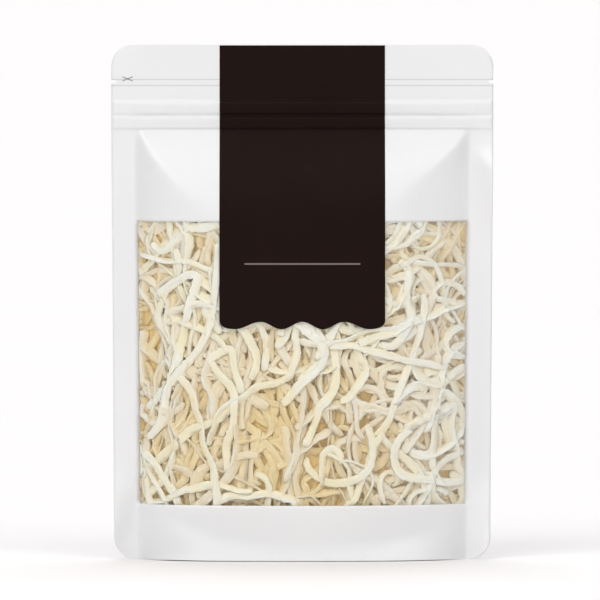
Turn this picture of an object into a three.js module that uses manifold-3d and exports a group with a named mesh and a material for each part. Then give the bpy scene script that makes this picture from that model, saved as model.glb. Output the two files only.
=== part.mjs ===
// A stand-up zip pouch of shredded dried squid: a white film pouch that stands on its open foot, the heap of
// strands that shows at its window, and the dark label down its front.
// Millimetres, +Z up, the front faces -Y, and the foot stands on Z = 0 with the pouch's middle over the
// origin.
import * as THREE from "three";
import { mergeVertices } from "three/addons/utils/BufferGeometryUtils.js";
import Module from "manifold-3d";

const wasm = await Module();
wasm.setup();

// Outline of the flat film
const HEIGHT = 271;
const TOP_HALF_WIDTH = 100.5;
const FOOT_HALF_WIDTH = 99;
const CORNER_RADIUS = 11.5;
const SIDE_SEAL = 13.5;
const SEAL_HALF_THICKNESS = 0.5;
const WALL = 1.1;
const HOLLOW_INSET = 1.8; // from the side seal to where the two films are far enough apart to leave a hollow

// Zip band, with its two pressed ridges, and the tear notches above it
const ZIP_BOTTOM = 226.6;
const ZIP_TOP = 242;
const ZIP_GROOVE = 234.6;
const ZIP_BASE = 0.8;
const ZIP_RIDGE = 0.8;
const NOTCH_HEIGHT = 251.6;
const NOTCH_DEPTH = 3.7;
const NOTCH_HALF_OPENING = 1.1;
const NOTCH_CUT = 4; // how far front to back a notch is cut, more than the seal's thickness

// Filled body: how far each side stands out, and how the film falls away to the zip and to the side seals
const BELLY = 25;
const SHOULDER = 61;
const SIDE_POWER = 2.6;
const SHOULDER_POWER = 1.9;
const HIP_SHARPNESS = 5;
const NO_SWELL = 1e-6;

// Foot: the arched weld that holds the gusset draws the film in along a line that climbs to both sides
const ARCH_HEIGHT = 9;
const ARCH_RISE = 27;
const ARCH_POWER = 2.2;
const ARCH_PINCH = 0.15;
const ARCH_SPREAD_BELOW = 9;
const ARCH_SPREAD_ABOVE = 22;
const SKIRT = 2;
const GUSSET_RECESS = 3;
const GUSSET_THICKNESS = 1.5;
const GUSSET_INSET = 6; // from the side seals to the ends of the gusset's recess

// Window in the front film
const WINDOW_HALF_WIDTH = 84.8;
const WINDOW_BOTTOM = 28.9;
const WINDOW_TOP = 178.4;

// Label
const LABEL_HALF_WIDTH = 43.6;
const LABEL_THICKNESS = 0.5;
const LABEL_TOP = 270.6;
const GAP = 0.4; // between the label and the film

// Lower edge of the label, half of it: points where its four lobes and the crests between them turn
const LABEL_EDGE = [
  [0, 125.4],
  [5.5, 123.5],
  [10.95, 121.6],
  [16.4, 123.5],
  [21.8, 125.4],
  [28.7, 123.5],
  [35.5, 121.6],
  [40, 122.3],
  [42.4, 123.6],
];
const LABEL_SIDE_END = 125.8;

// Heap of strands
const HEAP_GAP = 0.45;
const HEAP_TOP = 197;
const HEAP_RAGGED = 3;
const HEAP_RAGGED_LENGTHS = [9, 23];
const HEAP_BUMP = 0.9;
const HEAP_NARROWER = 0.99;
const STRAND_LAYER = 4.4;
const STRAND_THICKNESS = 1.7;
const STRAND_STEP = 9;
const STRAND_TWIST = 0.55; // how far one edge of a strand lies in front of its middle line
const STRAND_COLUMNS = 8;
const STRAND_ROWS = 5;
const STRAND_HALF_SPREAD = 80; // how far from the middle a strand may start
const STRAND_LENGTHS = [70, 125];
const STRAND_WIDTHS = [3.2, 4.8];
const STRAND_LEAN = 1.2; // from upright, in radians
const STRAND_BEND = 0.35; // in radians a step
const STRAND_STEADY_BEND = 0.4;
const STRAND_BEND_WAVE = 0.9; // in radians a step, as are the next two
const STRAND_TWIST_WAVE = 0.6;
const STRAND_SINK_WAVE = 0.8;
const STRAND_WAVE_STARTS = { bend: 3, twist: 9, sink: 5 }; // start each strand's waves at places of their own
const STRAND_SINK = 2.4;
const STRAND_END_WIDTH = 0.6;
const STRAND_FEWEST_POINTS = 4;
const STRAND_MARGIN = { side: 5, below: 6, above: 8 }; // how near to the seals, and how far past the window
const SEED = 7;

const { abs, cos, exp, max, min, PI, pow, round, sin, sqrt } = Math;
const mix = THREE.MathUtils.lerp;
const clamp = THREE.MathUtils.clamp;

// A repeatable stream of random numbers from 0 to 1
function randomStream(seed) {
  let state = seed;
  return () => {
    state = (state * 1664525 + 1013904223) % 4294967296;
    return state / 4294967296;
  };
}

// Half the width of the film at a height, before its corners are rounded
function filmHalfWidth(z) {
  return mix(FOOT_HALF_WIDTH, TOP_HALF_WIDTH, clamp(z / ZIP_BOTTOM, 0, 1));
}

// Half the width of the film at a height, corners and all
function outlineHalfWidth(z) {
  const inCorner = max(CORNER_RADIUS - min(z, HEIGHT - z), 0);
  const cut = CORNER_RADIUS - sqrt(CORNER_RADIUS ** 2 - inCorner ** 2);
  return filmHalfWidth(z) - cut;
}

// Half the width between the side seals
function bodyHalfWidth(z) {
  return filmHalfWidth(z) - SIDE_SEAL;
}

// Height of the arched weld in the foot
function archHeight(x, z) {
  return ARCH_HEIGHT + ARCH_RISE * pow(min(abs(x) / bodyHalfWidth(z), 1), ARCH_POWER);
}

// How far the filled film stands out from the pouch's middle plane, beyond the seals
function swell(x, z) {
  const across = min(abs(x) / bodyHalfWidth(z), 1);
  const up = clamp(1 - (ZIP_BOTTOM - z) / SHOULDER, 0, 1);
  const fromSide = BELLY * (1 - pow(across, SIDE_POWER));
  const fromZip = BELLY * (1 - pow(up, SHOULDER_POWER));
  if (min(fromSide, fromZip) < NO_SWELL) return 0;
  const both = pow(fromSide, -HIP_SHARPNESS) + pow(fromZip, -HIP_SHARPNESS);
  const aboveArch = z - archHeight(x, z);
  const spread = aboveArch > 0 ? ARCH_SPREAD_ABOVE : ARCH_SPREAD_BELOW;
  return pow(both, -1 / HIP_SHARPNESS) * (1 - ARCH_PINCH * exp(-((aboveArch / spread) ** 2)));
}

// The zip's two rounded ridges, above and below the groove between them
function zipRelief(z) {
  if (z < ZIP_BOTTOM || z > ZIP_TOP) return 0;
  const [low, high] = z < ZIP_GROOVE ? [ZIP_BOTTOM, ZIP_GROOVE] : [ZIP_GROOVE, ZIP_TOP];
  return ZIP_BASE + ZIP_RIDGE * sin((PI * (z - low)) / (high - low));
}

// Distance of the film's outer and inner faces from the middle plane
const outerDepth = (x, z) => SEAL_HALF_THICKNESS + swell(x, z) + zipRelief(z);
const innerDepth = (x, z) => SEAL_HALF_THICKNESS + swell(x, z) - WALL;

// A closed solid from a box whose front and back are grids: place(u, v) gives x and z of each grid point,
// for u from -1 to 1 and v as a row number, and depth(x, z, side) its y on the front, side -1, or the back,
// side 1
function shapedBox(columns, rows, place, depth) {
  const box = new THREE.BoxGeometry(2, 2, 2, columns, 1, rows);
  const points = box.attributes.position;
  for (let i = 0; i < points.count; i++) {
    const row = round(((points.getZ(i) + 1) / 2) * rows);
    const [x, z] = place(points.getX(i), row);
    points.setXYZ(i, x, depth(x, z, points.getY(i)), z);
  }
  return box;
}

// The same geometry as a solid that can be joined and cut
function solidOf(geometry) {
  const bare = new THREE.BufferGeometry().setAttribute("position", geometry.attributes.position);
  if (geometry.index) bare.setIndex(geometry.index);
  const merged = mergeVertices(bare, 1e-3);
  const vertProperties = new Float32Array(merged.attributes.position.array);
  const triVerts = new Uint32Array(merged.index.array);
  return new wasm.Manifold(new wasm.Mesh({ numProp: 3, vertProperties, triVerts }));
}

// The same solid as geometry
function geometryOf(solid) {
  const mesh = solid.getMesh();
  const geometry = new THREE.BufferGeometry();
  geometry.setAttribute("position", new THREE.BufferAttribute(mesh.vertProperties, 3));
  geometry.setIndex(new THREE.BufferAttribute(mesh.triVerts, 1));
  return geometry;
}

// The largest outer skin of a solid: hollows that joining has sealed are filled, and loose scraps dropped.
// The second pass does the same for what comes apart once points closer than a thousandth are one
function outerSkin(solid) {
  const largest = (whole) => whole.decompose().sort((a, b) => b.volume() - a.volume())[0];
  return geometryOf(largest(solidOf(geometryOf(largest(solid)))));
}

function evenSteps(low, high, count) {
  return Array.from({ length: count + 1 }, (_, i) => mix(low, high, i / count));
}

// Grid of the film between its side seals: the hollow and the heap share its lines, so that walls stay even
const BODY_COLUMNS = 16;
const LABEL_COLUMNS = 10;
const CORNER_ANGLES = [0, 30, 60, 90];
const FOOT_ROWS = evenSteps(18, 48, 4);
const BODY_ROWS = evenSteps(60, 214, 10);
const SHOULDER_ROW = 223;
const ZIP_STEP = 0.2; // height over which the zip's face rises from the film
const HOLLOW_TOP = ZIP_BOTTOM - 4;
const HOLLOW_LAST_ROW = ZIP_BOTTOM - 8;

// Heights of the film's grid rows: close together at the round corners, the foot and the zip
const cornerHeights = CORNER_ANGLES.map((angle) => CORNER_RADIUS * (1 - cos((angle * PI) / 180)));
const filmRows = [
  ...cornerHeights,
  ...FOOT_ROWS,
  ...BODY_ROWS,
  SHOULDER_ROW,
  ZIP_BOTTOM - ZIP_STEP,
  ZIP_BOTTOM,
  (ZIP_BOTTOM + ZIP_GROOVE) / 2,
  ZIP_GROOVE,
  (ZIP_GROOVE + ZIP_TOP) / 2,
  ZIP_TOP,
  ZIP_TOP + ZIP_STEP,
  ...cornerHeights.map((height) => HEIGHT - height).reverse(),
];

// Heights of the hollow's grid rows, and the place across of a grid point in one of them
const hollowRows = [
  GUSSET_RECESS + GUSSET_THICKNESS,
  ...filmRows.filter((z) => z > cornerHeights[2] && z < HOLLOW_LAST_ROW),
  HOLLOW_TOP,
];
function hollowX(u, row) {
  const half = bodyHalfWidth(hollowRows[row]);
  return abs(u) === 1 ? u * (half - HOLLOW_INSET) : u * half;
}

// Film pouch: outside, less the hollow, the window, the recess under the gusset and the tear notches
function pouchGeometry() {
  const columns = BODY_COLUMNS + 2;
  const outside = shapedBox(
    columns,
    filmRows.length - 1,
    (u, row) => {
      const z = filmRows[row];
      const x = abs(u) === 1 ? u * outlineHalfWidth(z) : (u * bodyHalfWidth(z) * columns) / BODY_COLUMNS;
      return [x, z];
    },
    (x, z, side) => side * outerDepth(x, z),
  );
  const hollow = shapedBox(
    BODY_COLUMNS,
    hollowRows.length - 1,
    (u, row) => [hollowX(u, row), hollowRows[row]],
    (x, z, side) => side * innerDepth(x, z),
  );
  const window = new THREE.BoxGeometry(2 * WINDOW_HALF_WIDTH, 2 * BELLY, WINDOW_TOP - WINDOW_BOTTOM);
  window.translate(0, -BELLY, (WINDOW_TOP + WINDOW_BOTTOM) / 2);
  const recess = shapedBox(
    columns,
    1,
    (u, row) => [u * (bodyHalfWidth(0) - GUSSET_INSET), mix(-GUSSET_RECESS, GUSSET_RECESS, row)],
    (x, z, side) => side * (outerDepth(x, 0) - SKIRT),
  );
  let pouch = solidOf(outside);
  for (const cutter of [hollow, window, recess, notchGeometry(-1), notchGeometry(1)]) {
    pouch = pouch.subtract(solidOf(cutter));
  }
  return outerSkin(pouch);
}

// A small V out of one side edge, side -1 or 1
function notchGeometry(side) {
  const edge = side * TOP_HALF_WIDTH;
  const tip = edge - side * NOTCH_DEPTH;
  const outside = edge + side;
  const shape = new THREE.Shape([
    new THREE.Vector2(tip, NOTCH_HEIGHT),
    new THREE.Vector2(outside, NOTCH_HEIGHT - NOTCH_HALF_OPENING),
    new THREE.Vector2(outside, NOTCH_HEIGHT + NOTCH_HALF_OPENING),
  ]);
  const notch = new THREE.ExtrudeGeometry(shape, { depth: NOTCH_CUT, bevelEnabled: false });
  notch.rotateX(PI / 2);
  notch.translate(0, NOTCH_CUT / 2, 0);
  return notch;
}

// Label: a thin sheet that follows the front film from the top edge down over the window, with a wavy lower
// edge
function labelGeometry() {
  const bridged = [ZIP_BOTTOM - ZIP_STEP, ZIP_TOP + ZIP_STEP];
  const lowest = min(...LABEL_EDGE.map(([, z]) => z));
  const firstRow = filmRows.findLastIndex((z) => z < lowest);
  const rows = filmRows.slice(firstRow).filter((z) => !bridged.includes(z));
  const sheet = shapedBox(
    LABEL_COLUMNS,
    rows.length - 1,
    (u, row) => [(u * bodyHalfWidth(rows[row]) * LABEL_COLUMNS) / BODY_COLUMNS, rows[row]],
    (x, z, side) => -(outerDepth(x, z) + GAP + (side < 0 ? LABEL_THICKNESS : 0)),
  );
  const rightHalf = [...LABEL_EDGE, [LABEL_HALF_WIDTH, LABEL_SIDE_END], [LABEL_HALF_WIDTH, LABEL_TOP]];
  const leftHalf = rightHalf.slice(1).reverse().map(([x, z]) => [-x, z]);
  const outline = new THREE.Shape([...leftHalf, ...rightHalf].map(([x, z]) => new THREE.Vector2(x, z)));
  const block = new THREE.ExtrudeGeometry(outline, { depth: 2 * BELLY, bevelEnabled: false });
  block.rotateX(PI / 2);
  return outerSkin(solidOf(sheet).intersect(solidOf(block)));
}

// How deep the strands lie in front of the core: thin at the side seals, full depth across the window
function strandRoom(x, z) {
  return min(STRAND_LAYER, innerDepth(x, z));
}

// Core of the heap: fills the pouch's hollow, bumpy in front, and ragged along its top
function coreGeometry() {
  const random = randomStream(SEED);
  const bumps = new Map();
  const bumpAt = (x, z) => {
    const key = `${x.toFixed(1)} ${z.toFixed(1)}`;
    if (!bumps.has(key)) bumps.set(key, random());
    return bumps.get(key);
  };
  const top = hollowRows.findLastIndex((z) => z < HEAP_TOP);
  const [short, long] = HEAP_RAGGED_LENGTHS;
  const endShift = { 0: () => HEAP_GAP, [top]: (x) => HEAP_RAGGED * sin(x / short) * cos(x / long) };
  return shapedBox(
    BODY_COLUMNS,
    top,
    (u, row) => {
      const x = hollowX(u, row) * (abs(u) === 1 ? HEAP_NARROWER : 1);
      return [x, hollowRows[row] + (endShift[row]?.(x) ?? 0)];
    },
    (x, z, side) => {
      const depth = innerDepth(x, z) - HEAP_GAP;
      if (side > 0) return depth;
      const room = strandRoom(x, z);
      return -(depth - room + HEAP_BUMP * (bumpAt(x, z) - 0.5) * min(room / STRAND_LAYER, 1));
    },
  );
}

// The middle line of one curling strand, walked both ways from a point, as points in x and z with the heading
function strandCourse(startX, startZ, heading, bend, length) {
  const { side, below, above } = STRAND_MARGIN;
  const steps = round(length / 2 / STRAND_STEP);
  const half = (way) => {
    const points = [];
    let x = startX;
    let z = startZ;
    let angle = heading;
    for (let i = 0; i < steps; i++) {
      x += way * STRAND_STEP * cos(angle);
      z += way * STRAND_STEP * sin(angle);
      const wave = sin(way * i * STRAND_BEND_WAVE + heading * STRAND_WAVE_STARTS.bend);
      angle += way * bend * (STRAND_STEADY_BEND + wave);
      const inWindow = z > WINDOW_BOTTOM - below && z < WINDOW_TOP + above;
      if (!inWindow || abs(x) > bodyHalfWidth(z) - side) break;
      points.push({ x, z, angle });
    }
    return points;
  };
  return [...half(-1).reverse(), { x: startX, z: startZ, angle: heading }, ...half(1)];
}

// One flat strand: its ends taper and sink back into the core, and it lies close behind the film between them
function strandGeometry(course, width, sink) {
  const last = course.length - 1;
  const strand = new THREE.BoxGeometry(2, 2, 2, 1, 1, last);
  const points = strand.attributes.position;
  for (let i = 0; i < points.count; i++) {
    const at = round(((points.getZ(i) + 1) / 2) * last);
    const { x, z, angle } = course[at];
    const toEnd = min(at, last - at);
    const half = (width / 2) * (toEnd === 0 ? STRAND_END_WIDTH : 1);
    const px = x + points.getX(i) * half * sin(angle);
    const pz = z - points.getX(i) * half * cos(angle);
    const twistWave = sin(at * STRAND_TWIST_WAVE + sink * STRAND_WAVE_STARTS.twist);
    const sinkWave = sin(at * STRAND_SINK_WAVE + width * STRAND_WAVE_STARTS.sink);
    const twist = STRAND_TWIST * (1 + points.getX(i) * twistWave);
    const sunk = (sink * (1 + sinkWave)) / 2;
    const wanted = twist + sunk + (toEnd === 0 ? STRAND_LAYER : 0);
    const most = 2 * (innerDepth(px, pz) - HEAP_GAP) - STRAND_THICKNESS;
    const front = innerDepth(px, pz) - HEAP_GAP - min(wanted, most);
    points.setXYZ(i, px, -(points.getY(i) < 0 ? front : front - STRAND_THICKNESS), pz);
  }
  return strand;
}

// Heap: the core with strands fused on, one through each cell of a grid over the window
function heapGeometry() {
  const random = randomStream(SEED + 1);
  let heap = solidOf(coreGeometry());
  for (let column = 0; column < STRAND_COLUMNS; column++) {
    for (let row = 0; row < STRAND_ROWS; row++) {
      const x = mix(-STRAND_HALF_SPREAD, STRAND_HALF_SPREAD, (column + random()) / STRAND_COLUMNS);
      const z = mix(WINDOW_BOTTOM, WINDOW_TOP, (row + random()) / STRAND_ROWS);
      const heading = PI / 2 + mix(-STRAND_LEAN, STRAND_LEAN, random()) + (random() < 0.5 ? PI : 0);
      const bend = mix(-STRAND_BEND, STRAND_BEND, random());
      const length = mix(...STRAND_LENGTHS, random());
      const width = mix(...STRAND_WIDTHS, random());
      const course = strandCourse(x, z, heading, bend, length);
      if (course.length < STRAND_FEWEST_POINTS) continue;
      heap = heap.add(solidOf(strandGeometry(course, width, STRAND_SINK * random())));
    }
  }
  return outerSkin(heap);
}

function meshOf(name, geometry, color, roughness) {
  const mesh = new THREE.Mesh(geometry, new THREE.MeshStandardMaterial({ color, roughness, metalness: 0 }));
  mesh.name = name;
  return mesh;
}

const pack = new THREE.Group();
pack.add(meshOf("pouch", pouchGeometry(), 0xeeeeee, 0.35));
pack.add(meshOf("squid_heap", heapGeometry(), 0xe6d8ae, 0.6));
pack.add(meshOf("label", labelGeometry(), 0x231716, 0.4));

export default pack;
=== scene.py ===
# A stand-up zip pouch of shredded dried squid: white film with a clear window, a dark label down its
# front, and the curly shreds that show behind the window. Sizes are in millimetres until new_piece turns
# them into metres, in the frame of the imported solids: +Z up, the front faces -Y, and the foot stands on
# Z = 0.
import math
from collections import namedtuple

import bpy
import numpy as np
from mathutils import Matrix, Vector


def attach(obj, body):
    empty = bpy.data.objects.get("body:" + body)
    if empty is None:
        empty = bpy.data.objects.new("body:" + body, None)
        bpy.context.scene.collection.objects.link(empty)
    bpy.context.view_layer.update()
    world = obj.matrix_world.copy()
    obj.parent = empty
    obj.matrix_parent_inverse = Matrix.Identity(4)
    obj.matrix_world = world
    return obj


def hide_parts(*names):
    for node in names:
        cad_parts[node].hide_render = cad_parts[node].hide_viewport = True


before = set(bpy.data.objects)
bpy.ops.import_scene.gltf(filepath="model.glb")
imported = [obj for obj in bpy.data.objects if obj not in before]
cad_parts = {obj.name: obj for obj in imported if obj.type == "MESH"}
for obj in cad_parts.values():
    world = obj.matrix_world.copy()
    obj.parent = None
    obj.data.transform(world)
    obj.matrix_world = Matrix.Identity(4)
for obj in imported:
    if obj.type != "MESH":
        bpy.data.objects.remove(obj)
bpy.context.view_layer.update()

MM = 0.001

# Outline of the flat film, as in the solids
HEIGHT = 271
TOP_HALF_WIDTH = 100.5
FOOT_HALF_WIDTH = 99
CORNER_RADIUS = 11.5
SIDE_SEAL = 13.5
NOTCH_HEIGHT = 251.6
NOTCH_DEPTH = 3.7
NOTCH_HALF_OPENING = 1.1

# Thickness of one film, and half of that where two are welded
FILM = 0.3
SEAL_HALF_THICKNESS = 0.32

# Grid of the film: the height of its cells, and its points across half the body, a seal and a round corner
FILM_CELL = 1.6
WINDOW_CELL = 2.2
ZIP_CELL = 0.4
BODY_POINTS = 43
SEAL_POINTS = 7
SEAL_LAST_POINT = 1.9
CORNER_POINTS = 12

# Zip band: two ridges, each with a steep and a gentle side, on a base with a crease between them
ZIP_BOTTOM = 226.8
ZIP_GROOVE = 233.9
ZIP_TOP = 241.6
ZIP_MARGIN = 1
ZIP_RIDGE = 0.8
ZIP_LOWER_RIDGE_SHARE = 0.8
ZIP_LOWER_PEAK = 0.72
ZIP_UPPER_PEAK = 0.78
ZIP_BASE = 1.2
ZIP_STEP = 1.3
ZIP_CREASE = 0.8
ZIP_CREASE_WIDTH = 0.8

# How flat the band is pressed across the side seals, and how wide it shuts at its ends
ZIP_PRESSED = 0.6
ZIP_PRESSED_WIDTH = 3
ZIP_END = 1.6

# Filled body, fuller beside the side seals than the solids are
BELLY = 23.6
SHOULDER_LEFT = 66
SHOULDER_RIGHT = 56
SIDE_POWER_LEFT = 3.6
SIDE_POWER_RIGHT = 2.8
SIDE_TUCK = 3
SIDE_TUCK_WIDTH = 4
SHOULDER_POWER = 1.9
HIP_SHARPNESS = 10
NO_SWELL = 1e-6

# Arched weld that holds the gusset and pinches the film, least in the middle
ARCH_HEIGHT = 9
ARCH_RISE_LEFT = 27
ARCH_RISE_RIGHT = 14
ARCH_POWER = 2.2
ARCH_PINCH_LEFT = 0.15
ARCH_PINCH_RIGHT = 0.19
ARCH_PINCH_MIDDLE = 0.05
ARCH_PINCH_FULL_FROM = 0.8
ARCH_SPREAD_BELOW = 9
ARCH_SPREAD_ABOVE = 22

# Gusset between front and back: a sagging panel creased along its middle, and its two leaves
GUSSET_TOP = 24
GUSSET_CREASE_WIDTH = 0.08
GUSSET_REACH = 0.99
GUSSET_CLEARANCE = 0.05
GUSSET_POINTS = 61
PANEL_POINTS = 25
LEAF_POINTS = 7

# The panel's sag and crease and the lowest row of a leaf, as shares of the weld's height
GUSSET_SAG = 0.65
GUSSET_CREASE = 0.03
GUSSET_LOWEST = 0.02

# Hem below the weld, which flares, and at the front is off the floor between its two ends
HEM_HEIGHT = 11
HEM_FLARE = 1.6
HEM_LIFT = 0.45

# How sharply the flare and the lift end toward the side seals
HEM_FLARE_ENDS = 12
HEM_LIFT_ENDS = 5

# How far the outer edge of each side seal sways back, at heights up the pouch
SWAY_HEIGHTS = (0, 22, 50, 84, 128, 165, 204, 224)
SWAY_LEFT = (3, -4, 0, 0.6, 2.2, 1.2, -0.4, 0)
SWAY_RIGHT = (-4.5, -1, 2.5, 2.2, 1.5, 0, -6.5, 0)

# Window in the front film, and the clear film in it
WINDOW_BOTTOM = 29.3
WINDOW_TOP = 178.4
WINDOW_POINTS = 85
CLEAR_FILM = 0.14
CLEAR_FILM_RECESS = 0.08
CLEAR_FILM_OVERLAP = 0.5

# Label: four lobes along its lower edge, the outer two wider, and a printed rule
LABEL_HALF_WIDTH = 43.5
LABEL_TOP = 270.6
LABEL_THICKNESS = 0.12
LABEL_GAP = 0.05
LABEL_POINTS = 97
LABEL_CELL = 1
LOBE_DEPTH = 3.9
LOBE_CREST = 126
LOBE_ROWS_HEIGHT = 9
OUTER_CREST = 21.8
OUTER_LOBE = 35.5
LABEL_RULE_HEIGHT = 156.4
LABEL_RULE_LEFT = -30.3
LABEL_RULE_RIGHT = 30.4
LABEL_RULE_HALF_THICKNESS = 0.4

# Printed lines on the film, and the share of the light that the film lets through
TEAR_LINES = (252.7, 249.5)
TEAR_LINE_HALF_THICKNESS = 0.28
PRINT_SOFT = 0.12
SCISSORS_X, SCISSORS_Z = -91.9, 253
SCISSORS_HALF_WIDTH = 2.7
SCISSORS_SLOPE = 0.42
SCISSORS_HALF_THICKNESS = 0.22
FILM_SHINE = 0.2

# Pile of shreds in the pouch, and the grid on which it grows
PILE_BOTTOM = 14
PILE_TOP = 192
PILE_HALF_WIDTH = 86
PILE_CELL = 0.7
PILE_CHOICES = 4
SEED = 11

# Depth of the shreds in front of the core, and where it gets less toward the window's top
PILE_LAYER = 5.4
PILE_LAYER_AT_TOP = 3
PILE_THINS_BELOW_TOP = 20
PILE_THINS_OVER = 18

# The most that depth can be, as a share of the film's distance from the middle plane
PILE_LAYER_MOST = 1.7

# Patch low in the middle that the paler shreds keep off
BARE_X, BARE_Z = -12, 62
BARE_HALF_WIDTH, BARE_HALF_HEIGHT = 48, 34

# Gaps between the pile and the film, the side seals and the gusset
FILM_GAP = 0.15
SIDE_GAP = 0.3
GUSSET_GAP = 1.2

# Core of the pile: its grid, its ragged top, and its front, which is set back, rippled and rough
CORE_ROWS = 70
CORE_COLUMNS = 81
CORE_RAGGED = 3
CORE_RAGGED_LENGTHS = (9, 23)
CORE_RECESS = 0.2
CORE_RIPPLE = 0.5
CORE_RIPPLE_TURN = 1.3
CORE_RIPPLE_SWAY = 3
CORE_RIPPLE_SWAY_LENGTH = 11
CORE_ROUGH = 0.25
CORE_THINNEST = 0.2

# Section of a shred, as shares of its half width and half thickness
SHRED_SECTION = (
    (-0.75, 1), (-1, 0.45), (-1, -0.45), (-0.75, -1),
    (0.75, -1), (1, -0.45), (1, 0.45), (0.75, 1),
)

# Size of a shred, and the share of shreds that are thin
SHRED_STEP = 1.6
SHRED_SHORTEST = 20
SHRED_HALF_WIDTHS = (1.2, 3.2)
SHRED_HALF_THICKNESSES = (0.3, 0.5)
SHRED_THIN_SHARE = 0.06
SHRED_THIN = 0.45

# The most that a shred takes of the room between the core and the film
SHRED_MOST_THICKNESS = 0.4
SHRED_MOST_REACH = 0.45

# How a shred's width waves, how its section rolls and swings, how rough it is, and how its ends taper
SHRED_WAVE = 0.1
SHRED_WAVE_LENGTHS = (4, 10)
SHRED_ROLL = 0.2
SHRED_SWING = 0.5
SHRED_SWING_LENGTHS = (7, 20)
SHRED_ROUGH = 0.1
SHRED_ROUGH_ALONG = 0.12
SHRED_END_WIDTHS = (0.5, 1)
SHRED_TAPERS = (2, 6)
SHRED_TIP = 0.6

# Share of a shred's thickness that holds up the shreds above it
SHRED_FIRM = 0.85

# Where the straighter shreds of the left side turn into the curlier ones of the right
CURLY_FROM = -25
CURLY_OVER = 60

# Course of a shred, in radians and millimetres, with BOTH_SIDES for a value on the left and on the right
TURNING_BOTH_SIDES = (0.012, 0.026)
RING_SHARE_BOTH_SIDES = (0.06, 0.24)
RING_TURNING = (0.08, 0.15)
RING_TURN = 4.8
ACROSS_SHARE_BOTH_SIDES = (0.14, 0.25)
ACROSS_LEAN = 1.5
LEAN_BOTH_SIDES = (0.32, 0.9)
BEND_SIZES = (0.05, 0.5)
BEND_LENGTHS = (35, 70)
WRIGGLE_SIZES = (0, 0.25)
WRIGGLE_LENGTH = 20
KINK_EVERY = 90
KINK_PLACES = (0.15, 0.85)
KINK = 0.7
KINK_LENGTH = 5
HOOK = 0.6
HOOK_LENGTH = 7

# Fibres: how wide their pattern runs across a shred, and how far apart two shreds are in it
FIBRE_WIDTH = 2
FIBRE_APART = 90

# Layers of the pile, from its core forward
Layer = namedtuple("Layer", (
    "name",
    "count",
    "shortest",
    "longest",
    "half_width",  # mean and spread
    "low",  # where the lowest shreds end, as a share of the room from the core to the film
    "high",  # where the highest shreds end
    "nesting",  # how much they sink between the shreds below
    "stiffness",  # the tightest radius at which they bend over what lies below
    "shy",  # how much they keep off the bare patch
))
LAYERS = (
    Layer("squid_golden", 250, 40, 100, (1.8, 0.3), 0.12, 0.5, 0.7, 14, 0),
    Layer("squid_cream", 150, 40, 110, (1.95, 0.35), 0.4, 0.8, 0.8, 14, 0.5),
    Layer("squid_pale", 88, 45, 125, (2.05, 0.35), 0.72, 1.0, 0.85, 16, 0.8),
)

# Colours of each layer. Shallow to deep is painted shade: a shred turns warmer and more golden the deeper
# it lies behind the film
Shades = namedtuple("Shades", (
    "shallow",  # near the film
    "deep",  # far behind the film
    "depths",  # where shallow turns into deep
    "warm",  # in patches
    "dry",  # along fibres
))
# The deeper layers' more golden colours are partly the shreds' own and partly painted shade of the gaps
# between shreds
SHADES = {
    "squid_golden": Shades((236, 222, 184), (231, 209, 157), (0.3, 0.9), (229, 206, 153), (219, 190, 132)),
    "squid_cream": Shades((233, 229, 214), (233, 216, 177), (0.15, 0.65), (232, 216, 182), (223, 201, 156)),
    "squid_pale": Shades((235, 236, 227), (240, 231, 198), (0.02, 0.4), (238, 229, 200), (232, 220, 184)),
}

# Camera: a long lens far off and slightly above, so that the foot's line stays straight
CAMERA_DISTANCE = 6000
CAMERA_ELEVATION = 2.4
FRAME_WIDTH = 315.6
FRAME_CENTRE = (-1.2, -6.0, 136.8)
SENSOR = 36.0

# Soft lights: the way to each, its strength and its width in degrees
LIGHTS = {
    "back_light": ((0.0, 0.45, 0.89), 1.3, 46),
    "top_light": ((0.0, 0.19, 0.98), 0.66, 48),
    "high_light": ((0.0, -0.35, 0.94), 0.4, 50),
    "front_light": ((0.0, -0.966, 0.259), 0.38, 30),
    "left_light": ((-0.45, -0.6, 0.66), 1.13, 40),
    "right_light": ((0.45, -0.6, 0.66), 0.74, 40),
}
SKY = 0.3
FLOOR_HALF_WIDTH = 40000


def lerp(low, high, share):
    return low + (high - low) * share


def smooth(share):
    share = np.clip(share, 0, 1)
    return share * share * (3 - 2 * share)


def steps(low, high, size):
    """Even steps of about that size, both ends included."""
    return np.linspace(low, high, max(1, round((high - low) / size)) + 1)


def film_half_width(z):
    return lerp(FOOT_HALF_WIDTH, TOP_HALF_WIDTH, np.clip(z / ZIP_BOTTOM, 0, 1))


def outline_half_width(z):
    """Half the width of the film at a height, with its round corners and its tear notches."""
    in_corner = np.clip(CORNER_RADIUS - np.minimum(z, HEIGHT - z), 0, CORNER_RADIUS)
    corner = CORNER_RADIUS - np.sqrt(CORNER_RADIUS**2 - in_corner**2)
    notch = NOTCH_DEPTH * np.clip(1 - np.abs(z - NOTCH_HEIGHT) / NOTCH_HALF_OPENING, 0, 1)
    return film_half_width(z) - corner - notch


def body_half_width(z):
    return film_half_width(z) - SIDE_SEAL


def across_body(x, z):
    return np.minimum(np.abs(x) / body_half_width(z), 1)


def left_to_right(x, left, right):
    """A value that changes smoothly from the left side to the right."""
    return lerp(left, right, smooth(0.5 + x / (2 * TOP_HALF_WIDTH)))


def arch_height(x, z):
    rise = left_to_right(x, ARCH_RISE_LEFT, ARCH_RISE_RIGHT)
    return ARCH_HEIGHT + rise * across_body(x, z) ** ARCH_POWER


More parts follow.
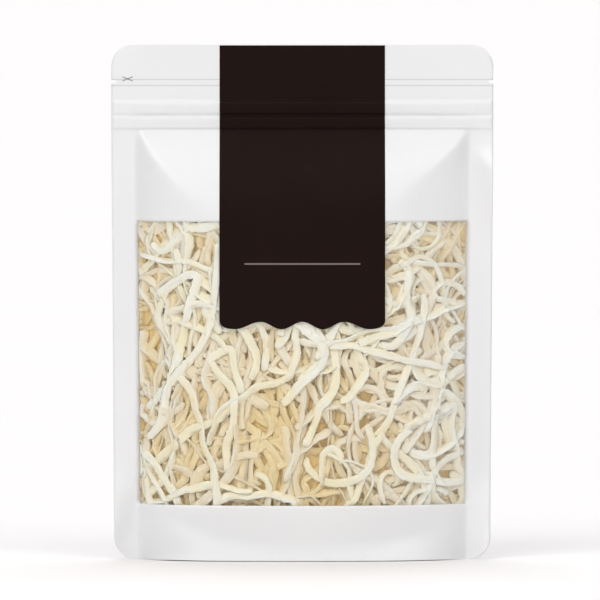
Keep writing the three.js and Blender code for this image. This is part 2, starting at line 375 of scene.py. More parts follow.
def swell(x, z):
    """How far the filled film stands out from the pouch's middle plane, beyond the seals."""
    up = np.clip(1 - (ZIP_BOTTOM - z) / left_to_right(x, SHOULDER_LEFT, SHOULDER_RIGHT), 0, 1)
    power = left_to_right(x, SIDE_POWER_LEFT, SIDE_POWER_RIGHT)
    inward = (1 - across_body(x, z)) * body_half_width(z)
    tuck = SIDE_TUCK * (1 - np.exp(-inward / SIDE_TUCK_WIDTH))
    from_side = np.maximum((BELLY - SIDE_TUCK) * (1 - across_body(x, z) ** power) + tuck, NO_SWELL)
    from_zip = np.maximum(BELLY * (1 - up**SHOULDER_POWER), NO_SWELL)
    both = (from_side**-HIP_SHARPNESS + from_zip**-HIP_SHARPNESS) ** (-1 / HIP_SHARPNESS)
    above_arch = z - arch_height(x, z)
    spread = np.where(above_arch > 0, ARCH_SPREAD_ABOVE, ARCH_SPREAD_BELOW)
    pinch = left_to_right(x, ARCH_PINCH_LEFT, ARCH_PINCH_RIGHT)
    pinch = pinch * lerp(ARCH_PINCH_MIDDLE, 1, smooth(across_body(x, z) / ARCH_PINCH_FULL_FROM))
    return both * (1 - pinch * np.exp(-((above_arch / spread) ** 2)))


def ridge(z, low, high, peak):
    """A ridge from low to high whose top is at the share peak of its width."""
    share = (z - low) / (high - low)
    return smooth(share / peak) * smooth((1 - share) / (1 - peak))


def zip_relief(x, z):
    """How far the zip band stands out from the film."""
    lower = ZIP_LOWER_RIDGE_SHARE * ridge(z, ZIP_BOTTOM, ZIP_GROOVE, ZIP_LOWER_PEAK)
    ridges = lower + ridge(z, ZIP_GROOVE, ZIP_TOP, ZIP_UPPER_PEAK)
    base = smooth((z - ZIP_BOTTOM) / ZIP_STEP + 0.5) * smooth((ZIP_TOP - z) / ZIP_STEP + 0.5)
    crease = ZIP_CREASE * np.exp(-(((z - ZIP_GROOVE) / ZIP_CREASE_WIDTH) ** 2))
    pressed = lerp(1, ZIP_PRESSED, smooth((np.abs(x) - body_half_width(z)) / ZIP_PRESSED_WIDTH))
    pressed = pressed * smooth((film_half_width(z) - np.abs(x)) / ZIP_END)
    return (ZIP_RIDGE * ridges + ZIP_BASE * (base - crease)) * pressed


def film_depth(x, z):
    """Distance of the film's outer face from the middle plane."""
    flare = HEM_FLARE * np.clip(1 - z / HEM_HEIGHT, 0, 1) ** 2
    flare = flare * smooth(HEM_FLARE_ENDS * (1 - across_body(x, z)))
    return SEAL_HALF_THICKNESS + swell(x, z) + flare + zip_relief(x, z)


def hem_lift(x, z):
    """How far the lower edge of the front film is off the floor."""
    lift = HEM_LIFT * smooth(HEM_LIFT_ENDS * (1 - across_body(x, z)))
    return lift * np.clip(1 - z / HEM_HEIGHT, 0, 1)


def seal_sway(x, z):
    """How far the flat seals sway back from the middle plane, front and back film together."""
    left, right = np.zeros_like(z), np.zeros_like(z)
    for i, (low, high) in enumerate(zip(SWAY_HEIGHTS, SWAY_HEIGHTS[1:])):
        inside = (z >= low) & (z < high)
        share = smooth((z - low) / (high - low))
        left = np.where(inside, lerp(SWAY_LEFT[i], SWAY_LEFT[i + 1], share), left)
        right = np.where(inside, lerp(SWAY_RIGHT[i], SWAY_RIGHT[i + 1], share), right)
    outward = smooth((np.abs(x) - body_half_width(z)) / SIDE_SEAL)
    return outward * np.where(x < 0, left, right)


def label_edge(x):
    """Height of the label's lower edge."""
    x = np.abs(x)
    inner = (1 + np.cos(2 * math.pi * x / OUTER_CREST)) / 2
    outer = (1 + np.cos(math.pi * (x - OUTER_CREST) / (OUTER_LOBE - OUTER_CREST))) / 2
    turn = np.clip((x - OUTER_LOBE) / (LABEL_HALF_WIDTH - OUTER_LOBE), 0, 1)
    corner = 1 - np.sqrt(1 - turn**2)
    rise = np.where(x < OUTER_CREST, inner, np.where(x < OUTER_LOBE, outer, corner))
    return LOBE_CREST - LOBE_DEPTH + LOBE_DEPTH * rise


def new_piece(name, points, faces, material, flat=None, attributes=None):
    """A mesh in metres from points in millimetres, riding on the body, and smooth but where flat marks a
    face."""
    mesh = bpy.data.meshes.new(name)
    mesh.from_pydata((np.asarray(points) * MM).tolist(), [], [list(map(int, face)) for face in faces])
    smooth_faces = np.ones(len(faces), bool) if flat is None else ~np.asarray(flat, bool)
    mesh.polygons.foreach_set("use_smooth", smooth_faces)
    for key, values in (attributes or {}).items():
        kind, field = ("FLOAT_VECTOR", "vector") if np.ndim(values) == 2 else ("FLOAT", "value")
        attribute = mesh.attributes.new(key, kind, "POINT")
        attribute.data.foreach_set(field, np.asarray(values, np.float32).ravel())
    mesh.materials.append(material)
    mesh.update()
    piece = bpy.data.objects.new(name, mesh)
    bpy.context.scene.collection.objects.link(piece)
    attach(piece, "root")
    return piece


def all_cells(x):
    """Every cell of a grid of places, marked as kept."""
    return np.ones((x.shape[0] - 1, x.shape[1] - 1), bool)


def sheet(x, z, outer, inner, kept, side):
    """Points and faces of a closed thin sheet over a grid of places, rows by columns, and which of the
    faces are the flat ones along its edges. outer and inner are the y of its two faces, kept says which
    cells are there, and side is -1 for a sheet that faces the front and 1 for the back."""
    rows, columns = x.shape
    number = np.arange(rows * columns).reshape(rows, columns)
    back = rows * columns
    low_left, low_right = number[:-1, :-1], number[:-1, 1:]
    up_left, up_right = number[1:, :-1], number[1:, 1:]
    quads = [np.stack([low_left, low_right, up_right, up_left], -1)[kept]]
    quads.append(np.stack([low_left, up_left, up_right, low_right], -1)[kept] + back)
    around = np.pad(kept, 1)
    edges = (
        (low_left, up_left, around[1:-1, :-2]),
        (up_right, low_right, around[1:-1, 2:]),
        (low_right, low_left, around[:-2, 1:-1]),
        (up_left, up_right, around[2:, 1:-1]),
    )
    for start, end, neighbour in edges:
        open_edge = kept & ~neighbour
        a, b = start[open_edge], end[open_edge]
        quads.append(np.stack([a, b, b + back, a + back], -1))
    faces = np.concatenate(quads)
    if side > 0:
        faces = faces[:, ::-1]
    flat = np.arange(len(faces)) >= 2 * np.count_nonzero(kept)
    points = np.concatenate([
        np.stack([x, outer, z], -1).reshape(-1, 3),
        np.stack([x, inner, z], -1).reshape(-1, 3),
    ])
    used = np.unique(faces)
    renumbered = np.zeros(len(points), int)
    renumbered[used] = np.arange(len(used))
    return points[used], renumbered[faces], flat


def corner_rows():
    return CORNER_RADIUS * (1 - np.cos(np.linspace(0, math.pi / 2, CORNER_POINTS)))


def film_rows():
    """Heights of the film's grid rows, closest together at the zip, the notches and the round corners."""
    notch = NOTCH_HEIGHT + np.array([-NOTCH_HALF_OPENING, 0, NOTCH_HALF_OPENING])
    stretches = [
        corner_rows(),
        steps(CORNER_RADIUS, WINDOW_BOTTOM, FILM_CELL),
        steps(WINDOW_BOTTOM, WINDOW_TOP, WINDOW_CELL),
        steps(WINDOW_TOP, ZIP_BOTTOM - ZIP_MARGIN, FILM_CELL),
        steps(ZIP_BOTTOM - ZIP_MARGIN, ZIP_TOP + ZIP_MARGIN, ZIP_CELL),
        steps(ZIP_TOP + ZIP_MARGIN, notch[0], FILM_CELL),
        notch,
        steps(notch[-1], HEIGHT - CORNER_RADIUS, FILM_CELL),
        HEIGHT - corner_rows(),
    ]
    return np.unique(np.round(np.concatenate(stretches), 5))


def film_columns():
    """Places across the film: up to 1 inside the side seals, and from 1 to 2 across a seal."""
    body = np.linspace(0, 1, BODY_POINTS)
    seal = np.append(np.linspace(1, 2, SEAL_POINTS)[1:-1], (SEAL_LAST_POINT, 2))
    half = np.concatenate([body, seal])
    return np.concatenate([-half[:0:-1], half])


def film_place(columns, rows):
    """The x and z of a grid over the film."""
    z, column = np.meshgrid(rows, columns, indexing="ij")
    body = body_half_width(z)
    in_body = np.clip(np.abs(column), 0, 1) * body
    in_seal = np.clip(np.abs(column) - 1, 0, 1) * (outline_half_width(z) - body)
    return np.sign(column) * (in_body + in_seal), z


def cell_middles(columns, rows):
    middle_rows = (rows[1:] + rows[:-1]) / 2
    middle_columns = (columns[1:] + columns[:-1]) / 2
    z, column = np.meshgrid(middle_rows, middle_columns, indexing="ij")
    return column, z


def film_sheet(name, side, material):
    """The front or back film, side -1 or 1, the front with its window cut out."""
    rows, columns = film_rows(), film_columns()
    x, z = film_place(columns, rows)
    column, height = cell_middles(columns, rows)
    in_window = (np.abs(column) < 1) & (height > WINDOW_BOTTOM) & (height < WINDOW_TOP)
    kept = ~in_window if side < 0 else all_cells(x)
    depth = film_depth(x, z)
    sway = seal_sway(x, z)
    lifted = z + hem_lift(x, z) if side < 0 else z
    outer, inner = side * depth + sway, side * (depth - FILM) + sway
    points, faces, flat = sheet(x, lifted, outer, inner, kept, side)
    return new_piece(name, points, faces, material, flat)


def window_sheet(material):
    """Clear film in the window, let into the thickness of the printed film around it."""
    rows = steps(WINDOW_BOTTOM - CLEAR_FILM_OVERLAP, WINDOW_TOP + CLEAR_FILM_OVERLAP, WINDOW_CELL)
    z, share = np.meshgrid(rows, np.linspace(-1, 1, WINDOW_POINTS), indexing="ij")
    x = share * (body_half_width(z) + CLEAR_FILM_OVERLAP)
    outer = film_depth(x, z) - CLEAR_FILM_RECESS
    points, faces, flat = sheet(x, z, -outer, -(outer - CLEAR_FILM), all_cells(x), -1)
    return new_piece("window_film", points, faces, material, flat)


def gusset_sheet(material):
    """The gusset, seen from below: a folded panel that hangs from the arched weld, and below the weld its
    two leaves, which lie against the front and the back film."""
    panel = np.linspace(-1, 1, PANEL_POINTS)
    leaf = np.linspace(GUSSET_LOWEST, 1, LEAF_POINTS)[:-1]
    in_leaf = np.ones_like(leaf)
    forward = np.concatenate([-in_leaf, panel, in_leaf])
    crease = GUSSET_CREASE * np.exp(-((panel / GUSSET_CREASE_WIDTH) ** 2))
    hanging = 1 - GUSSET_SAG * (1 - panel**2) + crease
    height = np.concatenate([leaf, hanging, leaf[::-1]])
    in_leaf = np.concatenate([in_leaf, np.zeros_like(panel), in_leaf])
    across = np.linspace(-GUSSET_REACH, GUSSET_REACH, GUSSET_POINTS)
    share, t = np.meshgrid(across, forward, indexing="ij")
    z = np.minimum(arch_height(share * body_half_width(0), 0), GUSSET_TOP) * height
    x = share * body_half_width(z)
    y = t * (film_depth(x, z) - FILM - GUSSET_CLEARANCE)
    inner_y = y - np.sign(t) * FILM * in_leaf
    inner_z = z + FILM * (1 - in_leaf)
    points = np.concatenate([
        np.stack([x, y, z], -1).reshape(-1, 3),
        np.stack([x, inner_y, inner_z], -1).reshape(-1, 3),
    ])
    _, faces, flat = sheet(x, z, y, y, all_cells(x), 1)
    return new_piece("gusset_film", points, faces, material, flat)


def label_sheet(material):
    """The label's sheet, which follows the film and whose lower rows follow its wavy edge."""
    lowest = LOBE_CREST - LOBE_DEPTH
    wavy_top = lowest + LOBE_ROWS_HEIGHT
    upper_rows = film_rows()[film_rows() > wavy_top + LABEL_CELL]
    rows = np.concatenate([steps(lowest, wavy_top, LABEL_CELL), upper_rows])
    rows = np.append(rows[rows < LABEL_TOP], LABEL_TOP)
    height, share = np.meshgrid(rows, np.linspace(-1, 1, LABEL_POINTS), indexing="ij")
    x = share * LABEL_HALF_WIDTH
    z = height + (label_edge(x) - lowest) * (1 - smooth((height - lowest) / LOBE_ROWS_HEIGHT))
    inner = film_depth(x, z) + LABEL_GAP
    points, faces, flat = sheet(x, z, -(inner + LABEL_THICKNESS), -inner, all_cells(x), -1)
    return new_piece("label_sheet", points, faces, material, flat)


def film_limit(x, z):
    """How far forward the pouch's filling can reach."""
    return film_depth(x, z) - FILM - FILM_GAP


def pressed_inside(points):
    """Points moved back inside the pouch where they would stick out at its front, back or sides."""
    x, y, z = np.transpose(points)
    side = body_half_width(z) - SIDE_GAP
    x = np.clip(x, -side, side)
    limit = film_limit(x, z)
    return np.stack([x, np.clip(y, -limit, limit), z], -1)


def pile_floor(x):
    """Height of the gusset that the pile lies on."""
    return np.minimum(arch_height(x, 0), GUSSET_TOP) + GUSSET_GAP


def core_front(x, z):
    """Forward face of the pile's core, which the shreds lie on."""
    limit = np.maximum(film_limit(x, z), 0)
    near_top = smooth((z - WINDOW_TOP + PILE_THINS_BELOW_TOP) / PILE_THINS_OVER)
    layer = lerp(PILE_LAYER, PILE_LAYER_AT_TOP, near_top)
    return limit - np.minimum(layer, PILE_LAYER_MOST * limit)


class Pile:
    """The pile of shreds as it grows forward: a grid of how far forward it reaches at each place."""

    def __init__(self):
        self.x = np.arange(-TOP_HALF_WIDTH, TOP_HALF_WIDTH, PILE_CELL)
        self.z = np.arange(0, HEIGHT, PILE_CELL)
        x, z = np.meshgrid(self.x, self.z, indexing="ij")
        self.front = core_front(x, z)

    def cells(self, x, z):
        column = np.clip(np.round((x - self.x[0]) / PILE_CELL).astype(int), 0, len(self.x) - 1)
        row = np.clip(np.round((z - self.z[0]) / PILE_CELL).astype(int), 0, len(self.z) - 1)
        return column, row

    def under(self, x, z, nesting):
        """How far forward the pile reaches under rows of places, between the mean and the most of each."""
        reached = self.front[self.cells(x, z)]
        return lerp(reached.max(1), reached.mean(1), nesting)

    def low_place(self, random, shy):
        """The place out of a few where the pile has the most room left. shy says how much it keeps off the
        patch low in the middle where the photograph shows the fewest pale shreds."""
        x = random.uniform(-PILE_HALF_WIDTH, PILE_HALF_WIDTH, PILE_CHOICES)
        z = random.uniform(PILE_BOTTOM, PILE_TOP, PILE_CHOICES)
        limit = film_limit(x, z)
        room = (limit - self.front[self.cells(x, z)]) / (limit - core_front(x, z))
        aside, above = (x - BARE_X) / BARE_HALF_WIDTH, (z - BARE_Z) / BARE_HALF_HEIGHT
        best = np.argmax(room - shy * np.exp(-(aside**2) - above**2))
        return x[best], z[best]

    def add(self, x, z, front):
        np.maximum.at(self.front, self.cells(x, z), np.broadcast_to(front, x.shape))


def wave_along(random, size, lengths, along):
    """A wave of that size along a shred, with a random length and start."""
    return size * np.sin(along / random.uniform(*lengths) + random.uniform(0, 2 * math.pi))


def end_taper(count, random):
    """Share of the full section along a shred, smaller at its two ends."""
    from_ends = np.minimum(np.arange(count), np.arange(count)[::-1]) * SHRED_STEP
    narrowest = random.uniform(*SHRED_END_WIDTHS)
    return lerp(narrowest, 1, smooth((from_ends + SHRED_STEP / 4) / random.uniform(*SHRED_TAPERS)))


class Shred:
    """One shred: its middle line, and the width, thickness and roll of its flat section along it."""

    def __init__(self, layer, course, random):
        self.x, self.z, self.angle = course
        self.count = len(self.x)
        self.along = np.arange(self.count) * SHRED_STEP
        taper = end_taper(self.count, random)
        wave = 1 + wave_along(random, SHRED_WAVE, SHRED_WAVE_LENGTHS, self.along)
        half_width = np.clip(random.normal(*layer.half_width), *SHRED_HALF_WIDTHS)
        if random.uniform() < SHRED_THIN_SHARE:
            half_width *= SHRED_THIN
        self.half_width = half_width * wave * taper
        self.room = film_limit(self.x, self.z) - core_front(self.x, self.z)
        half_thick = random.uniform(*SHRED_HALF_THICKNESSES) * taper
        self.half_thick = np.minimum(half_thick, SHRED_MOST_THICKNESS * self.room)
        swing = wave_along(random, random.uniform(0, SHRED_SWING), SHRED_SWING_LENGTHS, self.along)
        self.roll = random.normal(0, SHRED_ROLL) + swing
        reach = np.hypot(self.half_width * np.sin(self.roll), self.half_thick * np.cos(self.roll))
        self.reach = np.minimum(reach, SHRED_MOST_REACH * self.room)
        self.spread = np.hypot(self.half_width * np.cos(self.roll), self.half_thick * np.sin(self.roll))
        self.middle = None

    def beside(self, x, z, across):
        """Places at those distances to one side of places along the shred."""
        return x - np.sin(self.angle)[:, None] * across, z + np.cos(self.angle)[:, None] * across

    def footprint(self, shares, ahead=0.0):
        """Places under the shred, at those shares of its half width to each side, in rows along it."""
        x = self.x + ahead * np.cos(self.angle)
        z = self.z + ahead * np.sin(self.angle)
        return self.beside(x[:, None], z[:, None], self.spread[:, None] * shares)

    def lay(self, layer, level, pile):
        """Lay the shred on the pile, pressed in where it would stand out past its level."""
        under = pile.under(*self.footprint(np.linspace(-0.8, 0.8, 5)), layer.nesting)
        apart = self.along[:, None] - self.along[None, :]
        under = (under[None, :] - apart**2 / (2 * layer.stiffness)).max(1)
        under = np.convolve(np.pad(under, 2, "edge"), [0.1, 0.2, 0.4, 0.2, 0.1], "valid")
        limit = film_limit(self.x, self.z) - (1 - level) * self.room
        self.middle = np.minimum(under + self.reach, limit - self.reach)
        front = (self.middle + SHRED_FIRM * self.reach)[:, None]
        for ahead in (0, SHRED_STEP / 2):
            pile.add(*self.footprint(np.linspace(-1, 1, 9), ahead), front)

    def mesh(self, random):
        """Points, faces and attributes: a flat section along the middle line, and a point at each end."""
        section_wide, section_thick = np.transpose(SHRED_SECTION)
        sides = len(section_wide)
        rough = 1 + SHRED_ROUGH * random.normal(size=sides)
        rough = rough + SHRED_ROUGH_ALONG * random.normal(size=(self.count, sides))
        wide = rough * section_wide * self.half_width[:, None]
        thick = rough * section_thick * self.half_thick[:, None]
        roll = self.roll[:, None]
        across = wide * np.cos(roll) - thick * np.sin(roll)
        forward = wide * np.sin(roll) + thick * np.cos(roll)
        x, z = self.beside(self.x[:, None], self.z[:, None], across)
        rings = np.stack([x, -(self.middle[:, None] + forward), z], -1).reshape(-1, 3)
        tips = []
        for at, way in ((0, -1), (-1, 1)):
            tip = SHRED_TIP * self.half_width[at] * way
            tip_x = self.x[at] + tip * math.cos(self.angle[at])
            tip_z = self.z[at] + tip * math.sin(self.angle[at])
            tips.append([tip_x, -self.middle[at], tip_z])
        points = pressed_inside(np.concatenate([rings, tips]))
        here = np.arange(sides)
        after = (here + 1) % sides
        ring = np.arange(self.count - 1)[:, None] * sides
        corners = [ring + here, ring + after, ring + sides + after, ring + sides + here]
        quads = np.stack(corners, -1).reshape(-1, 4)
        start, end = self.count * sides, self.count * sides + 1
        last_ring = (self.count - 1) * sides
        caps = [(start, after[i], here[i]) for i in range(sides)]
        caps += [(end, last_ring + here[i], last_ring + after[i]) for i in range(sides)]
        own = random.uniform(0, 1)
        fibre = np.tile(section_wide * FIBRE_WIDTH, self.count)
        place = FIBRE_APART * own
        strand = np.stack([fibre, np.repeat(self.along, sides), np.full(len(rings), place)], -1)
        strand = np.concatenate([strand, [[0, 0, place], [0, self.along[-1], place]]])
        # Distance behind the film, which the squid looks turn into painted shade
        depth = np.clip((film_limit(points[:, 0], points[:, 2]) + points[:, 1]) / PILE_LAYER, 0, 1)
        return points, [tuple(quad) for quad in quads] + caps, (strand, depth, np.full(len(points), own))


def shred_course(layer, pile, random):
    """Middle line of one shred, as x, z and heading along it, cut off where it would leave the pouch."""
    length = random.uniform(layer.shortest, layer.longest)
    start_x, start_z = pile.low_place(random, layer.shy)
    curly = smooth((start_x - CURLY_FROM) / CURLY_OVER)
    turning = random.normal(0, lerp(*TURNING_BOTH_SIDES, curly))
    if random.uniform() < lerp(*RING_SHARE_BOTH_SIDES, curly):
        turning = random.choice([-1, 1]) * random.uniform(*RING_TURNING)
        length = min(length, RING_TURN / abs(turning))
    count = round(length / SHRED_STEP)
    along = np.arange(count) * SHRED_STEP
    if random.uniform() < lerp(*ACROSS_SHARE_BOTH_SIDES, curly):
        lean = random.uniform(-ACROSS_LEAN, ACROSS_LEAN)
    else:
        lean = random.normal(0, lerp(*LEAN_BOTH_SIDES, curly))
    angle = math.pi / 2 + lean + turning * (along - length / 2)
    bend = (random.uniform(*BEND_SIZES), random.uniform(*BEND_LENGTHS))
    wriggle = (random.uniform(*WRIGGLE_SIZES), WRIGGLE_LENGTH)
    for size, period in (bend, wriggle):
        angle = angle + size * np.sin(2 * math.pi * along / period + random.uniform(0, 2 * math.pi))
    for _ in range(random.poisson(length / KINK_EVERY)):
        kink = random.uniform(*KINK_PLACES) * length
        angle = angle + random.normal(0, KINK) * smooth((along - kink) / KINK_LENGTH + 0.5)
    for from_end in (along, length - along):
        angle = angle + random.normal(0, HOOK) * np.exp(-from_end / HOOK_LENGTH)
    x = np.cumsum(np.cos(angle)) * SHRED_STEP
    z = np.cumsum(np.sin(angle)) * SHRED_STEP
    middle = count // 2
    x += start_x - x[middle]
    z += start_z - z[middle]
    low = np.maximum(PILE_BOTTOM, pile_floor(x) + GUSSET_GAP)
    inside = (np.abs(x) < body_half_width(z) - SIDE_GAP) & (z > low) & (z < PILE_TOP)
    if not inside[middle]:
        return None
    outside = np.flatnonzero(~inside)
    first = outside[outside < middle].max(initial=-1) + 1
    last = outside[outside > middle].min(initial=count)
    if (last - first) * SHRED_STEP < SHRED_SHORTEST:
        return None
    return x[first:last], z[first:last], angle[first:last]


def shred_piece(layer, pile, material, random):
    """One layer of shreds laid on the pile, as one piece."""
    points, faces, attributes, count = [], [], [], 0
    for _ in range(layer.count):
        course = None
        while course is None:
            course = shred_course(layer, pile, random)
        shred = Shred(layer, course, random)
        shred.lay(layer, random.uniform(layer.low, layer.high), pile)
        own_points, own_faces, own_attributes = shred.mesh(random)
        points.append(own_points)
        faces += [tuple(corner + count for corner in face) for face in own_faces]
        attributes.append(own_attributes)
        count += len(own_points)
    strand, depth, tint = (np.concatenate(values) for values in zip(*attributes))
    joined = {"strand": strand, "depth": depth, "tint": tint}
    return new_piece(layer.name, np.concatenate(points), faces, material, None, joined)


def core_piece(material):
    """The pile's core: a bumpy solid that fills the pouch behind the shreds, ragged along its top."""
    random = np.random.default_rng(SEED + 1)
    rows = np.linspace(0, 1, CORE_ROWS)
    up, share = np.meshgrid(rows, np.linspace(-1, 1, CORE_COLUMNS), indexing="ij")
    x = share * (body_half_width(lerp(PILE_BOTTOM, PILE_TOP, up)) - 2 * SIDE_GAP)
    short, long = CORE_RAGGED_LENGTHS
    top = PILE_TOP + CORE_RAGGED * np.sin(x / short) * np.cos(x / long)
    z = lerp(pile_floor(x), top, up)
    ripple = np.sin(x * CORE_RIPPLE_TURN + CORE_RIPPLE_SWAY * np.sin(z / CORE_RIPPLE_SWAY_LENGTH))
    front = core_front(x, z) - CORE_RECESS + CORE_RIPPLE * ripple * (1 - share**2)
    front += CORE_ROUGH * random.normal(size=front.shape) * (1 - share**8)
    back = film_limit(x, z)
    outer = -np.maximum(front, CORE_THINNEST - back)
    points, faces, flat = sheet(x, z, outer, back, all_cells(x), -1)
    return new_piece("squid_core", points, faces, material, flat)


class Look:
    """A material made from nodes around one Principled shader."""

    def __init__(self, name, **constants):
        self.material = bpy.data.materials.new(name)
        self.material.use_nodes = True
        self.tree = self.material.node_tree
        self.shader = self.tree.nodes["Principled BSDF"]
        for key, value in constants.items():
            self.shader.inputs[key.replace("_", " ")].default_value = value

    def node(self, kind, inputs=None, **settings):
        made = self.tree.nodes.new(kind)
        for key, value in settings.items():
            setattr(made, key, value)
        for key, value in (inputs or {}).items():
            self.put(value, made.inputs[key])
        return made

    def put(self, value, socket):
        if isinstance(value, bpy.types.NodeSocket):
            self.tree.links.new(value, socket)
        else:
            socket.default_value = value

    def paint(self, value, key="Base Color"):
        self.put(value, self.shader.inputs[key])

    def place(self):
        return self.node("ShaderNodeTexCoord").outputs["Object"]

    def axes(self, place):
        """How far to the right and how high a place is."""
        parts = self.node("ShaderNodeSeparateXYZ", {"Vector": place})
        return parts.outputs["X"], parts.outputs["Z"]

    def attribute(self, name, output="Fac"):
        return self.node("ShaderNodeAttribute", attribute_name=name).outputs[output]

    def math(self, operation, *values):
        made = self.node("ShaderNodeMath", operation=operation)
        for socket, value in zip(made.inputs, values):
            self.put(value, socket)
        return made.outputs[0]

    def noise(self, vector, scale, detail=3, roughness=0.5):
        inputs = {"Vector": vector, "Scale": scale, "Detail": detail, "Roughness": roughness}
        return self.node("ShaderNodeTexNoise", inputs).outputs["Fac"]

    def stretch(self, vector, scale):
        return self.node("ShaderNodeMapping", {"Vector": vector, "Scale": scale}).outputs["Vector"]

    def span(self, value, low, high, to_low=0.0, to_high=1.0):
        """A value turned smoothly from one range into another."""
        inputs = {"Value": value, "From Min": low, "From Max": high, "To Min": to_low, "To Max": to_high}
        return self.node("ShaderNodeMapRange", inputs, interpolation_type="SMOOTHSTEP").outputs["Result"]

    def mix(self, share, low, high):
        made = self.node("ShaderNodeMix", data_type="RGBA")
        self.put(share, made.inputs["Factor"])
        self.put(low, made.inputs[6])
        self.put(high, made.inputs[7])
        return made.outputs[2]

    def shine_through(self, share, tint):
        """Let a share of the light through, as thin film does."""
        through = self.node("ShaderNodeBsdfTranslucent", {"Color": tint})
        both = self.node("ShaderNodeMixShader", {"Fac": share})
        self.put(self.shader.outputs["BSDF"], both.inputs[1])
        self.put(through.outputs["BSDF"], both.inputs[2])
        self.put(both.outputs["Shader"], self.tree.nodes["Material Output"].inputs["Surface"])

    def bump(self, height, distance):
        made = self.node("ShaderNodeBump", {"Height": height, "Distance": distance, "Strength": 1.0})
        self.paint(made.outputs["Normal"], "Normal")


def colour(red, green, blue):
    """Linear colour from the sRGB numbers 0 to 255 that a picture shows."""
    values = np.array([red, green, blue]) / 255
    linear = np.where(values <= 0.04045, values / 12.92, ((values + 0.055) / 1.055) ** 2.4)
    return (*linear.tolist(), 1.0)


def print_line(look, height, middle, half_thickness):
    """1 on a printed line, 0 off it. The height socket is in metres, the rest in millimetres."""
    away = look.math("ABSOLUTE", look.math("SUBTRACT", height, middle * MM))
    low, high = (half_thickness - PRINT_SOFT) * MM, (half_thickness + PRINT_SOFT) * MM
    return look.span(away, low, high, 1.0, 0.0)


def scissors_mark(look, across, height):
    """1 on the small mark beside the tear line: two strokes that cross like open scissors."""
    on = print_line(look, across, SCISSORS_X, SCISSORS_HALF_WIDTH)
    strokes = []
    for slope in (-SCISSORS_SLOPE, SCISSORS_SLOPE):
        level = look.math("MULTIPLY_ADD", across, -slope, height)
        strokes.append(print_line(look, level, SCISSORS_Z - slope * SCISSORS_X, SCISSORS_HALF_THICKNESS))
    return look.math("MULTIPLY", look.math("MAXIMUM", *strokes), on)


def film_look():
    """White film with the two tear lines and the scissors mark, which lets a little light through."""
    look = Look("white_film", Specular_IOR_Level=0.8)
    place = look.place()
    cloud = look.noise(place, 14, 2)
    plain = look.mix(cloud, colour(244, 244, 245), colour(248, 248, 248))
    across, height = look.axes(place)
    lines = [print_line(look, height, line, TEAR_LINE_HALF_THICKNESS) for line in TEAR_LINES]
    printed = look.math("MULTIPLY", look.math("MAXIMUM", *lines), 0.75)
    base = look.mix(printed, plain, colour(206, 206, 204))
    look.paint(look.mix(scissors_mark(look, across, height), base, colour(70, 70, 70)))
    look.shine_through(FILM_SHINE, plain)
    look.paint(look.span(look.noise(place, 900, 2), 0.3, 0.7, 0.3, 0.38), "Roughness")
    look.bump(look.noise(place, 260, 4), 0.00004)
    return look.material


def window_look():
    """Clear film: a thin gloss over what lies behind, and a faint white veil that grows to the right."""
    look = Look("clear_film", Roughness=0.12, Base_Color=(1, 1, 1, 1), Specular_IOR_Level=0.3)
    place = look.place()
    across, _ = look.axes(place)
    white_veil = look.span(across, 0.01, 0.085, 0.02, 0.1)
    patchy = look.span(look.noise(place, 35, 2), 0.35, 0.7, 0.6, 1.2)
    look.paint(look.math("MULTIPLY", white_veil, patchy), "Alpha")
    look.bump(look.noise(place, 120, 2), 0.00005)
    return look.material


def label_look():
    """Dark print with a thin paler rule."""
    look = Look("label_print", Specular_IOR_Level=0.05)
    place = look.place()
    across, height = look.axes(place)
    ink = look.mix(look.noise(place, 60, 4), colour(25, 13, 11), colour(31, 18, 16))
    rule = print_line(look, height, LABEL_RULE_HEIGHT, LABEL_RULE_HALF_THICKNESS)
    middle = (LABEL_RULE_LEFT + LABEL_RULE_RIGHT) / 2
    rule_half = (LABEL_RULE_RIGHT - LABEL_RULE_LEFT) / 2
    rule = look.math("MULTIPLY", rule, print_line(look, across, middle, rule_half))
    look.paint(look.mix(look.math("MULTIPLY", rule, 0.8), ink, colour(140, 125, 122)))
    look.paint(look.span(look.noise(place, 700, 2), 0.3, 0.7, 0.42, 0.55), "Roughness")
    look.bump(look.noise(place, 400, 3), 0.00003)
    return look.material


def squid_look(name, shades):
    """A kind of shred: fibres along it, warm patches, and painted shade, a warmer and more golden colour
    where it lies deep.
    """
    look = Look(name, Specular_IOR_Level=0.25)
    strand = look.attribute("strand", "Vector")
    fibre = look.noise(look.stretch(strand, (1.1, 0.09, 1)), 1.0, 5, 0.65)
    stretch = look.noise(look.stretch(strand, (0.1, 0.07, 1)), 1.0, 2)
    # Painted shade: the colour turns from shallow to deep with the distance behind the film
    depth = look.span(look.attribute("depth"), *shades.depths)
    base = look.mix(depth, colour(*shades.shallow), colour(*shades.deep))
    own = look.span(look.attribute("tint"), 0.1, 1.0, 0.15, 0.75)
    patch = look.math("MULTIPLY", look.span(stretch, 0.42, 0.72), own)
    base = look.mix(patch, base, colour(*shades.warm))
    line = look.math("MULTIPLY", look.span(fibre, 0.42, 0.66), 0.6)
    base = look.mix(line, base, colour(*shades.dry))
    speck = look.math("MULTIPLY", look.span(look.noise(look.place(), 330, 1), 0.79, 0.84), 0.7)
    look.paint(look.mix(speck, base, colour(176, 128, 70)))
    look.paint(look.span(fibre, 0.3, 0.7, 0.5, 0.68), "Roughness")
    look.bump(fibre, 0.0005)
    return look.material


def core_look():
    look = Look("squid_core", Specular_IOR_Level=0.2)
    mottle = look.noise(look.stretch(look.place(), (1, 1, 0.4)), 260, 4)
    # Golden colour, deeper than the shreds': partly the squid's own and partly painted shade of the gaps
    # deep in the pile
    look.paint(look.mix(look.span(mottle, 0.35, 0.65), colour(226, 194, 122), colour(236, 208, 144)))
    look.paint(look.span(mottle, 0.3, 0.7, 0.6, 0.8), "Roughness")
    look.bump(mottle, 0.0006)
    return look.material


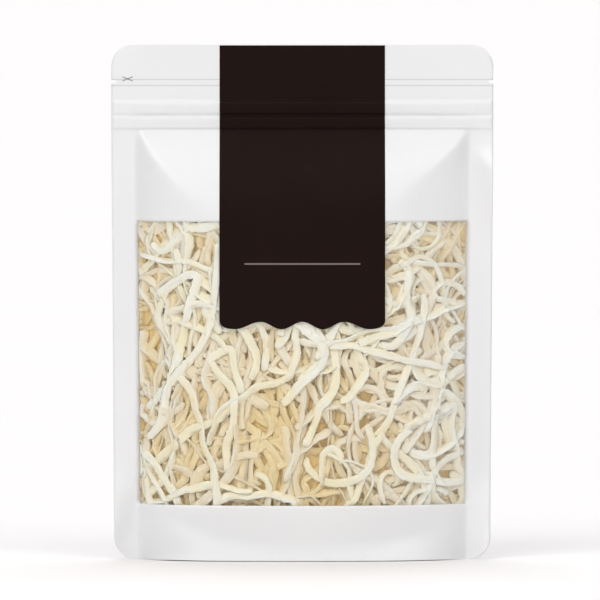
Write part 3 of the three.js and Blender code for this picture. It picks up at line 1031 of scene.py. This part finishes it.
def floor_look():
    look = Look("pale_floor", Roughness=0.7, Specular_IOR_Level=0.1)
    look.paint(look.mix(look.noise(look.place(), 3, 2), colour(234, 232, 232), colour(236, 234, 234)))
    return look.material


def make_camera():
    camera = bpy.data.objects.new("camera", bpy.data.cameras.new("camera"))
    bpy.context.scene.collection.objects.link(camera)
    tilt = math.radians(CAMERA_ELEVATION)
    x, y, z = FRAME_CENTRE
    camera.location = (
        x * MM,
        (y - CAMERA_DISTANCE * math.cos(tilt)) * MM,
        (z + CAMERA_DISTANCE * math.sin(tilt)) * MM,
    )
    camera.rotation_euler = (math.pi / 2 - tilt, 0, 0)
    camera.data.sensor_width = SENSOR
    camera.data.lens = SENSOR * CAMERA_DISTANCE / FRAME_WIDTH
    camera.data.clip_end = 100
    bpy.context.scene.camera = camera


def make_sun(name, towards, strength, width):
    sun = bpy.data.objects.new(name, bpy.data.lights.new(name, "SUN"))
    bpy.context.scene.collection.objects.link(sun)
    sun.rotation_mode = "QUATERNION"
    sun.rotation_quaternion = Vector(towards).to_track_quat("Z", "Y")
    sun.data.energy = strength
    sun.data.angle = math.radians(width)


def make_light():
    """A white backdrop that only the camera sees, a sky that is brightest overhead, and the soft lights.
    The two behind the top throw the shadow forward, and the others leave the film's two sides darker."""
    world = bpy.data.worlds.new("studio")
    bpy.context.scene.world = world
    world.use_nodes = True
    nodes, links = world.node_tree.nodes, world.node_tree.links
    parts = nodes.new("ShaderNodeSeparateXYZ")
    links.new(nodes.new("ShaderNodeTexCoord").outputs["Generated"], parts.inputs["Vector"])
    sky = parts.outputs["Z"]
    for operation, number in (("MAXIMUM", 0), ("POWER", 2), ("MULTIPLY", SKY)):
        made = nodes.new("ShaderNodeMath")
        made.operation = operation
        made.inputs[1].default_value = number
        links.new(sky, made.inputs[0])
        sky = made.outputs[0]
    backdrop = nodes.new("ShaderNodeMix")
    links.new(nodes.new("ShaderNodeLightPath").outputs["Is Camera Ray"], backdrop.inputs["Factor"])
    links.new(sky, backdrop.inputs["A"])
    backdrop.inputs["B"].default_value = 1
    links.new(backdrop.outputs["Result"], nodes["Background"].inputs["Strength"])
    nodes["Background"].inputs["Color"].default_value = (1, 1, 1, 1)
    for name, light in LIGHTS.items():
        make_sun(name, *light)


def make_floor():
    half = FLOOR_HALF_WIDTH * MM
    corners = [(-half, -half, 0), (half, -half, 0), (half, half, 0), (-half, half, 0)]
    mesh = bpy.data.meshes.new("floor")
    mesh.from_pydata(corners, [], [(0, 1, 2, 3)])
    mesh.materials.append(floor_look())
    floor = bpy.data.objects.new("floor", mesh)
    bpy.context.scene.collection.objects.link(floor)


bpy.context.scene.view_settings.view_transform = "Standard"
bpy.context.scene.cycles.diffuse_bounces = 12
make_camera()
make_light()
make_floor()

white = film_look()
front = film_sheet("front_film", -1, white)
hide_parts("pouch")
film_sheet("back_film", 1, white)
gusset_sheet(white)
window_sheet(window_look())
label = label_sheet(label_look())
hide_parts("label")
core = core_piece(core_look())
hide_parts("squid_heap")
random = np.random.default_rng(SEED)
pile = Pile()
for layer in LAYERS:
    shred_piece(layer, pile, squid_look(layer.name, SHADES[layer.name]), random)
